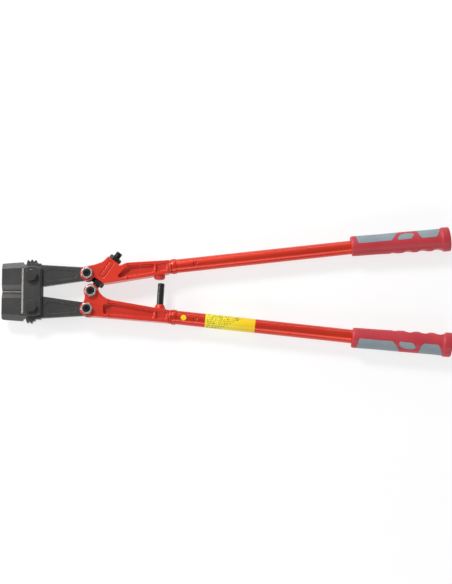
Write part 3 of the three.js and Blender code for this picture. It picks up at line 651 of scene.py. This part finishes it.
strap_bolt = make_strap_bolt()
strap_nut = make_strap_nut()
STRAP_PINS = [("upper", UPPER_STRAP_PIN, 12, 20), ("lower", LOWER_STRAP_PIN, 2, 5)]
for side, centre, bolt_turn, nut_turn in STRAP_PINS:
    bolt = turned_to(copied(strap_bolt, side + "_strap_hex_bolt"), centre, bolt_turn)
    finished(bolt, "straps", BOLT_STEEL, "strap_bolts", side + "_strap_bolt")
    nut = turned_to(copied(strap_nut, side + "_strap_hex_nut"), centre, nut_turn)
    finished(nut, "straps", BLACK_OXIDE, "black_oxide", side + "_strap_nut")
bpy.data.objects.remove(strap_bolt)
bpy.data.objects.remove(strap_nut)


# ---- Handle heads ----
def cut_corners(points, cut, rounds=2):
    """Rounds the corners of a closed outline, taking off at most cut at each."""
    for turn in range(rounds):
        trimmed = []
        for a, b in zip(points, points[1:] + points[:1]):
            a, b = Vector(a), Vector(b)
            reach = min(0.28 * (b - a).length, cut / 2**turn)
            step = (b - a).normalized() * reach
            trimmed += [tuple(a + step), tuple(b - step)]
        points = trimmed
    return points


def frame_block(name, start, end, half, low, high):
    """A block with rounded corners that lies over the screw's line."""
    left = UP.cross(SCREW_LINE)
    corner_points = [(start, -half), (end, -half), (end, half), (start, half)]
    outline = [
        tuple((SCREW_LINE * station + left * out).xy)
        for station, out in cut_corners(corner_points, 1.5 * MM, 3)
    ]
    return placed(prism(name, outline, low, high), Matrix.Translation(HANDLE_PIVOT))


def engrave_boss(head):
    """Cuts the thin frame into the face of the boss that the adjusting screw runs in."""
    face = corners("upper_handle_head")[:, 2].max() - MID_HEIGHT
    from_adjusting_nut, from_lock_nut = 7.7 * MM, 4 * MM
    start = screw_span("adjusting_nut")[1] + from_adjusting_nut
    end = screw_span("lock_nut")[0] - from_lock_nut
    half, line = 4.6 * MM, 1.3 * MM
    cutter = frame_block("frame", start, end, half, face - MM, face + MM)
    inner = (start + line, end - line, half - line)
    joined("DIFFERENCE", cutter, frame_block("inner", *inner, face - 2 * MM, face + 2 * MM))
    return smooth(joined("DIFFERENCE", head, cutter), 40)


upper_head = engrave_boss(forged("upper_handle_head", "upper_head_forging", 0.6 * MM, 4))
finished(upper_head, "upper_handle", ENAMEL, "red_enamel", "upper_handle_head")
lower_head = forged("lower_handle_head", "lower_head_forging", 0.6 * MM, 4)
finished(lower_head, "lower_handle", ENAMEL, "red_enamel", "lower_handle_head")

# ---- Adjuster ----
THREAD_PITCH = 1.75 * MM
THREAD_DEPTH = 0.85 * MM


def threaded(name, radius, low, high, blank):
    """A rod that is plain up to blank and carries a helical thread from there to its end."""
    step = THREAD_PITCH / 8
    count = int((high - blank) / step)
    rings = [(radius, blank + i * step) for i in range(count)]
    piece = turned(name, [(radius, low)] + rings + [(radius - THREAD_DEPTH, high)], 48)
    for vertex in piece.data.vertices:
        x, y, z = vertex.co
        if z < blank + step or z > high - step:
            continue
        turn = math.atan2(y, x) / (2 * math.pi)
        phase = (z / THREAD_PITCH - turn) % 1.0
        groove = THREAD_DEPTH * min(1.0, max(0.0, 1.6 * (1 - abs(2 * phase - 1)) - 0.3))
        run_out = min(1.0, (z - blank) / THREAD_PITCH)
        scale = 1 - groove * run_out / radius
        vertex.co = (x * scale, y * scale, z)
    return piece


def make_eyebolt():
    start, end, _ = screw_span("adjusting_eyebolt")
    eye_radius = -start
    low, high = heights("adjusting_eyebolt")
    thread_start = screw_span("lock_nut")[1] - 3 * MM
    stud = threaded("stud", SCREW_RADIUS, eye_radius - 3 * MM, end, thread_start)
    placed(stud, SCREW_FRAME)
    edge = 0.8 * MM
    eye = turned(
        "adjusting_eyebolt_forging",
        [(eye_radius - edge, low), (eye_radius, low + edge), (eye_radius, high - edge),
         (eye_radius - edge, high)],
        FASTENER_FACETS,
    )
    placed(eye, Matrix.Translation(HANDLE_PIVOT))
    joined("UNION", eye, stud)
    hole = placed(rod("hole", 6.3 * MM, low - MM, high + MM), Matrix.Translation(HANDLE_PIVOT))
    joined("DIFFERENCE", eye, hole)
    return smooth(eye, EDGE_ANGLE)


finished(make_eyebolt(), "adjuster", BLACK_OXIDE, "black_oxide", "adjusting_eyebolt")
for name, turn in (("adjusting_nut", 90), ("lock_nut", 102)):
    low, high, _ = screw_span(name)
    nut = hexagon_nut(name + "_hex", BOLT_FLATS, low, high, 6.2 * MM)
    placed(nut, SCREW_FRAME @ Matrix.Rotation(math.radians(turn), 4, "Z"))
    finished(nut, name + "_body", BLACK_OXIDE, "black_oxide", name)


# ---- Stop peg ----
def make_peg():
    """A turned peg, set in the lower head and pointing to the upper one, with a shallow groove."""
    points = corners("stop_peg")
    centre = points.mean(0)
    line = length_line(points, centre, (0, 1, 0))
    low, high, radius = span("stop_peg", centre, line)
    edge = 1.3 * MM
    band = high - 9 * MM
    groove = 0.35 * MM
    peg = turned(
        "stop_peg_turned",
        [(radius, low), (radius, band), (radius - groove, band + 0.4 * MM),
         (radius - groove, band + 1.2 * MM), (radius, band + 1.6 * MM), (radius, high - edge),
         (radius - 0.4 * edge, high - 0.35 * edge), (radius - edge, high),
         (radius - 2.2 * edge, high - 0.1 * MM)],
        FASTENER_FACETS,
    )
    return smooth(clean(placed(peg, frame_along(centre, line))), 35)


finished(make_peg(), "lower_handle", BLACK_OXIDE, "black_oxide", "stop_peg")


# ---- Tubes, collars and pins ----
TUBE_RADIUS = upper_span("upper_tube")[2]


def pin_centre():
    low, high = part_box("upper_tube_pin")
    return (low + high) / 2


def make_tube():
    """A drawn tube with 2 mm walls and a lipped hole through it for the cross pin."""
    low, high, radius = upper_span("upper_tube")
    bore = radius - 2 * MM
    middle = (low + high) / 2
    edge = 0.4 * MM
    profile = [
        (bore, middle - MM), (bore, low), (radius - edge, low), (radius, low + edge),
        (radius, high - edge), (radius - edge, high), (bore, high), (bore, middle + MM),
    ]
    tube = clean(placed(turned("upper_tube_drawn", profile, 128), TUBE_FRAME))
    hole, lip = 3.25 * MM, 4 * MM
    lip_end, hole_start = radius - 0.6 * MM, radius - 1.1 * MM
    cutter = turned(
        "pin_hole",
        [(lip, -radius - MM), (lip, -lip_end), (hole, -hole_start),
         (hole, hole_start), (lip, lip_end), (lip, radius + MM)],
        64,
    )
    placed(cutter, Matrix.Translation(pin_centre()))
    return smooth(joined("DIFFERENCE", tube, cutter), 30)


def make_collar():
    """A ring with a full, rounded bead."""
    low, high, outer = upper_span("upper_collar")
    inner = TUBE_RADIUS + 0.05 * MM
    height = outer - inner
    foot = inner + 0.3 * height
    profile = [(foot, low)]
    for i in range(1, 8):
        angle = math.pi * i / 8
        bead = 0.7 * height * math.sin(angle) ** 0.55
        profile.append((foot + bead, low + (high - low) * (1 - math.cos(angle)) / 2))
    profile.append((foot, high))
    ring = turned("upper_collar_bead", profile, 128)
    joined("DIFFERENCE", ring, rod("bore", inner, low - MM, high + MM, 128))
    return smooth(clean(placed(ring, TUBE_FRAME)), 35)


def make_pin():
    """A cross pin with domed ends, sunk in the tube's holes."""
    low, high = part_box("upper_tube_pin")
    radius = (high.x - low.x) / 2
    sunk = 1.9 * MM
    half = (high.z - low.z) / 2 - sunk
    dome = 0.45 * MM
    profile = [(radius * 0.5, -half - dome), (radius * 0.9, -half), (radius, -half + dome),
               (radius, half - dome), (radius * 0.9, half), (radius * 0.5, half + dome)]
    pin = turned("upper_tube_rivet", profile, 48)
    return smooth(clean(placed(pin, Matrix.Translation(pin_centre()))), 40)


# ---- Grips ----
GRIP_LOW, GRIP_HIGH, _ = upper_span("upper_grip")
GRIP_LENGTH = GRIP_HIGH - GRIP_LOW


def grip_drift():
    """The shear that takes the grip's outside off the tube's axis, and the flange's radius."""
    to_tube = np.array(TUBE_FRAME.inverted())
    points = corners("upper_grip") @ to_tube[:3, :3].T + to_tube[:3, 3]
    near = 0.05 * MM
    ends = [points[:, 2] < GRIP_LOW + near, points[:, 2] > GRIP_HIGH - near]
    start, end = [(points[ring, 1].min() + points[ring, 1].max()) / 2 for ring in ends]
    shear = Matrix.Identity(4)
    shear[1][2] = (end - start) / GRIP_LENGTH
    shear[1][3] = start - shear[1][2] * GRIP_LOW
    out = points[:, 1] - shear[1][2] * points[:, 2] - shear[1][3]
    return shear, np.hypot(points[:, 0], out).max()


GRIP_DRIFT, FLANGE_RADIUS = grip_drift()
GRIP_RADIUS = FLANGE_RADIUS - 3.6 * MM
GRIP_SWELL = 1.9 * MM
FIRST_GROOVE = GRIP_LENGTH - 99 * MM
GROOVE_PITCH = 25.4 * MM
GROOVE_COUNT = 4
GROOVE_RADIUS = 15 * MM
CLOSED_END = 18 * MM
INLAY_DEPTH = 1.7 * MM
INLAY_GAP = 0.22 * MM
BEYOND = 1.75  # a height well outside the grip, for an outline that runs off its side

# Soft inlays as (station from the first groove in mm, height as a share of the grip's radius).
INLAYS = {
    "rear": [(-61.5, BEYOND), (-61.5, 1.0), (-58.5, 0.12), (-40, 0.12), (-20, 0.13), (-2, 0.14),
             (3, 0.42), (8, 0.8), (12, 1.05), (14, BEYOND)],
    "middle": [(9, 0.14), (22, 0.15), (32, 0.17), (36.5, 0.45), (38.5, 0.66), (34, 0.80),
               (24, 0.84), (14, 0.70), (9, 0.42)],
    "front": [(42.5, BEYOND), (42.5, 1.05), (44.5, 0.78), (47.5, 0.30), (51, 0.15), (64, 0.15),
              (75, 0.16), (79, 0.47), (82.5, 0.85), (84, 1.2), (84.5, BEYOND)],
}


def grip_profile(inset):
    """Radius along the grip's outside, as [radius, station], with fine rings between."""
    rows = [
        (GRIP_RADIUS - 2.4 * MM, 0),
        (GRIP_RADIUS - 1.1 * MM, 0.5 * MM),
        (GRIP_RADIUS - 0.35 * MM, 1.7 * MM),
        (GRIP_RADIUS, 4 * MM),
        (GRIP_RADIUS, GRIP_LENGTH - 124 * MM),
        (GRIP_RADIUS + 0.47 * GRIP_SWELL, GRIP_LENGTH - 84 * MM),
        (GRIP_RADIUS + 0.68 * GRIP_SWELL, GRIP_LENGTH - 34 * MM),
        (GRIP_RADIUS + GRIP_SWELL, GRIP_LENGTH - 15.6 * MM),
        (FLANGE_RADIUS - 1.1 * MM, GRIP_LENGTH - 14.2 * MM),
        (FLANGE_RADIUS - 0.3 * MM, GRIP_LENGTH - 13.4 * MM),
        (FLANGE_RADIUS, GRIP_LENGTH - 12.4 * MM),
        (FLANGE_RADIUS, GRIP_LENGTH - 2.4 * MM),
        (FLANGE_RADIUS - 0.5 * MM, GRIP_LENGTH - 1.1 * MM),
        (FLANGE_RADIUS - 1.4 * MM, GRIP_LENGTH - 0.3 * MM),
        (FLANGE_RADIUS - 3 * MM, GRIP_LENGTH),
    ]
    fine = [rows[0]]
    for (r0, s0), (r1, s1) in zip(rows, rows[1:]):
        count = max(1, round((s1 - s0) / (4 * MM)))
        for i in range(1, count + 1):
            fine.append((r0 + (r1 - r0) * i / count, s0 + (s1 - s0) * i / count))
    limit = GRIP_LENGTH - inset
    return [(r - inset, GRIP_LOW + min(max(s, inset), limit)) for r, s in fine]


def grip_outline(name, grow):
    """An inlay's outline in the grip's own (out, station) plane, grown on all sides."""
    points = [
        (share * GRIP_RADIUS, GRIP_LOW + FIRST_GROOVE + station * MM)
        for station, share in INLAYS[name]
    ]
    points = cut_corners(points, 1.1 * MM)
    centre = np.mean(points, axis=0)
    away = np.array(points) - centre
    length = np.linalg.norm(away, axis=1)[:, None]
    return [tuple(p) for p in centre + away * (1 + grow / length)]


def inlay_prism(name, face, grow):
    """The block over an inlay's outline; the tube frame's X axis points to the back."""
    reach = FLANGE_RADIUS + 3 * MM
    near = 3 * MM if name == "middle" else -reach
    block = prism(name + "_block", grip_outline(name, grow), near, reach)
    # (out, station, height) to the tube frame's (x to the back, y out, z along)
    side = -1 if face == "front" else 1
    axes = Matrix(((0, 0, side, 0), (1, 0, 0, 0), (0, 1, 0, 0), (0, 0, 0, 1)))
    return clean(placed(block, axes))


def make_grip_body(name, inset):
    return clean(turned(name, grip_profile(inset), 96))


def cut_grooves(piece):
    """Cuts the finger grooves into the grip's inner side; the first one is shallower."""
    reach = FLANGE_RADIUS + MM
    for i in range(GROOVE_COUNT):
        depth = (2.2 if i == 0 else 3.2) * MM
        out = depth - GRIP_RADIUS - 0.6 * GRIP_SWELL - GROOVE_RADIUS
        cutter = rod("groove", GROOVE_RADIUS, -reach, reach, 128)
        station = GRIP_LOW + FIRST_GROOVE + i * GROOVE_PITCH
        across = Matrix.Translation((0, out, station)) @ Matrix.Rotation(math.pi / 2, 4, "Y")
        joined("DIFFERENCE", piece, placed(cutter, across))
    return piece


INLAY_FACES = [("rear", "front", ""), ("middle", "front", "_front"), ("middle", "back", "_back"),
               ("front", "front", "")]


def make_grip_pieces():
    """The upper grip and its four inlays, as {node: piece}."""
    pieces = {}
    core = make_grip_body("core", INLAY_DEPTH)
    core_below = make_grip_body("core_below", INLAY_DEPTH - INLAY_GAP)
    grip = make_grip_body("upper_grip_moulding", 0)
    for name, face, suffix in INLAY_FACES:
        skin = make_grip_body(f"upper_{name}_inlay_moulding{suffix}", 0.02 * MM)
        joined("INTERSECT", skin, inlay_prism(name, face, -INLAY_GAP))
        joined("DIFFERENCE", skin, core_below, keep_tool=True)
        pieces[f"grip_{name}_inlay{suffix}"] = skin
        pocket = joined("DIFFERENCE", inlay_prism(name, face, INLAY_GAP), core, keep_tool=True)
        joined("DIFFERENCE", grip, pocket)
    bpy.data.objects.remove(core)
    bpy.data.objects.remove(core_below)
    cut_grooves(grip)
    pieces["grip"] = grip
    for piece in pieces.values():
        piece.data.transform(GRIP_DRIFT)
    bore = rod("bore", TUBE_RADIUS + 0.1 * MM, GRIP_LOW - MM, GRIP_HIGH - CLOSED_END, 128)
    joined("DIFFERENCE", grip, bore)
    for piece in pieces.values():
        smooth(clean(placed(piece, TUBE_FRAME)), 38)
    return pieces


# Both handles carry the same pieces, so each is modelled once and mirrored to the lower side.
HANDLE_PIECES = [
    ("tube", make_tube(), TUBE_ENAMEL, "red_enamel"),
    ("collar", make_collar(), TUBE_ENAMEL, "red_enamel"),
    ("tube_pin", make_pin(), ENAMEL, "red_enamel"),
]
for node, piece in make_grip_pieces().items():
    look = (GRIP_RED, "grip_rubber") if node == "grip" else (GRIP_GREY, "grip_inlay")
    HANDLE_PIECES.append((node, piece, *look))
for node, piece, material, slot in HANDLE_PIECES:
    twin = mirrored(piece, piece.name.replace("upper", "lower"))
    smooth(twin, 38)
    finished(piece, "upper_handle", material, slot, "upper_" + node)
    finished(twin, "lower_handle", material, slot, "lower_" + node)


# ---- Label and sticker ----
def sleeve(name, low, high, height):
    """A film wrapped round the lower tube, its outside that height above the tube."""
    inner, outer = TUBE_RADIUS + 0.03 * MM, TUBE_RADIUS + height
    ring = turned(name, [(outer, low), (outer, high)], 128)
    joined("DIFFERENCE", ring, rod("bore", inner, low - MM, high + MM, 128))
    return placed(ring, MIRROR_MATRIX @ TUBE_FRAME)


label_low, label_high, _ = lower_span("tube_label")
label = smooth(clean(sleeve("tube_label_film", label_low, label_high, 0.25 * MM)), 35)
label_start = (TUBE_CENTRE + TUBE_LINE * label_low) * MIRROR
label_look = label_finish(label_start, label_high - label_low)
finished(label, "lower_handle", label_look, "label_film", "tube_label")


def make_sticker():
    low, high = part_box("round_sticker")
    centre = (low + high) / 2
    centre.z = MID_HEIGHT
    radius = (high.x - low.x) / 2
    station = (centre * MIRROR - TUBE_CENTRE).dot(TUBE_LINE)
    reach = 2 * radius
    film = sleeve("round_sticker_film", station - reach, station + reach, 0.22 * MM)
    disc = placed(rod("disc", radius, 2 * MM, 2 * TUBE_RADIUS, 64), Matrix.Translation(centre))
    return smooth(clean(joined("INTERSECT", clean(film), disc)), 35)


def sticker_finish():
    finish = Finish("round_sticker_film")
    tone = finish.group(MOTTLE, Broad=60.0, Fine=500.0)
    fresh, faded = colour(0.90, 0.66, 0.01), colour(0.84, 0.58, 0.01)
    finish.feed("Base Color", finish.mix(tone.outputs["Broad"], fresh, faded))
    finish.feed("Roughness", finish.ramp(tone.outputs["Fine"], 0.0, 1.0, 0.28, 0.4))
    relief = finish.group(RELIEF, Wave=120.0, Grain=500.0, Pits=150.0)
    finish.bump(relief.outputs["Height"], 0.05 * MM, 0.4)
    return finish.material


finished(make_sticker(), "lower_handle", sticker_finish(), "label_film", "round_sticker")

# ---- Floor, light and camera ----
bpy.ops.object.select_all(action="DESELECT")
bpy.ops.mesh.primitive_plane_add(size=12)
floor = bpy.context.object
floor.name = "floor"
floor.data.materials.append(floor_finish())

CAMERA_TILT = math.radians(7)
CAMERA_DISTANCE = 2.72
CAMERA_LENS = 98.6
VIEW_CENTRE = Vector((0.2289, -0.0003, MID_HEIGHT))
camera = bpy.data.objects.new("camera", bpy.data.cameras.new("camera"))
bpy.context.scene.collection.objects.link(camera)
back = Vector((0, -math.sin(CAMERA_TILT), math.cos(CAMERA_TILT)))
camera.location = VIEW_CENTRE + CAMERA_DISTANCE * back
camera.rotation_euler = (CAMERA_TILT, 0, 0)
camera.data.lens = CAMERA_LENS
camera.data.clip_end = 50
bpy.context.scene.camera = camera


def softbox(name, position, size, power):
    """A rectangular lamp that faces the middle of the tool."""
    light = bpy.data.objects.new(name, bpy.data.lights.new(name, "AREA"))
    bpy.context.scene.collection.objects.link(light)
    light.data.shape = "RECTANGLE"
    light.data.size, light.data.size_y = size
    light.data.energy = power
    light.location = position
    aim = VIEW_CENTRE - Vector(position)
    light.rotation_euler = aim.to_track_quat("-Z", "Y").to_euler()


softbox("key", (-0.9, 1.5, 1.6), (0.8, 0.5), 44)
softbox("low_key", (-0.2, 2.0, 0.72), (2.4, 0.3), 9)
softbox("fill", (0.4, -1.8, 1.2), (2.4, 0.8), 16)
softbox("side", (-1.75, 0.1, 0.8), (0.6, 0.5), 15)

world = bpy.data.worlds.new("studio")
bpy.context.scene.world = world
world.use_nodes = True
background = world.node_tree.nodes["Background"]
background.inputs["Color"].default_value = colour(1, 1, 1)
background.inputs["Strength"].default_value = 0.3
bpy.context.scene.view_settings.view_transform = "Standard"
